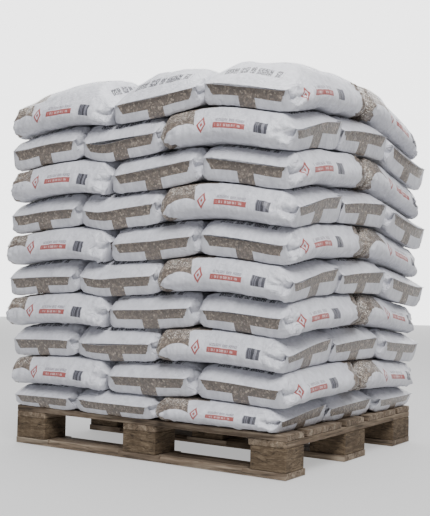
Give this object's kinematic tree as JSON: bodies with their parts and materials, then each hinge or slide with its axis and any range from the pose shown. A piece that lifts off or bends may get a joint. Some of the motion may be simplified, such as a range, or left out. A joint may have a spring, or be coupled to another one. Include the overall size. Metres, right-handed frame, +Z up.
{
  "type": "pallet of sacks",
  "caption": "Full pallet of filled plastic film sacks of wood pellets, laid flat in turned layers on a nine-block wooden pallet.",
  "frame": {"origin": "on the floor, below the middle of the pallet", "axes": "+X along the pallet's long side, -Y the front of the stack, +Z up"},
  "size_m": [1.2696, 1.0924, 1.4],
  "materials": {
    "board_wood": "rough-sawn softwood, weathered grey-brown",
    "block_wood": "rough-sawn block with end grain",
    "sack_film": "white printed polyethylene film, satin, with clear windows",
    "nail_steel": "dull weathered nail heads"
  },
  "bodies": {
    "root": {"bottom_board_front": "board_wood", "bottom_board_middle": "board_wood", "bottom_board_rear": "board_wood", "cross_board_left": "board_wood", "cross_board_middle": "board_wood", "cross_board_right": "board_wood", "deck_board_1": "board_wood", "deck_board_2": "board_wood", "deck_board_3": "board_wood", "deck_board_4": "board_wood", "deck_board_5": "board_wood", "deck_board_6": "board_wood", "deck_board_7": "board_wood", "block_front_left": "block_wood", "block_front_middle": "block_wood", "block_front_right": "block_wood", "block_middle_left": "block_wood", "block_middle_middle": "block_wood", "block_middle_right": "block_wood", "block_rear_left": "block_wood", "block_rear_middle": "block_wood", "block_rear_right": "block_wood", "sack_layer_01": "sack_film", "sack_layer_02": "sack_film", "sack_layer_03": "sack_film", "sack_layer_04": "sack_film", "sack_layer_05": "sack_film", "sack_layer_06": "sack_film", "sack_layer_07": "sack_film", "sack_layer_08": "sack_film", "sack_layer_09": "sack_film", "sack_layer_10": "sack_film"}
  },
  "joints": []
}
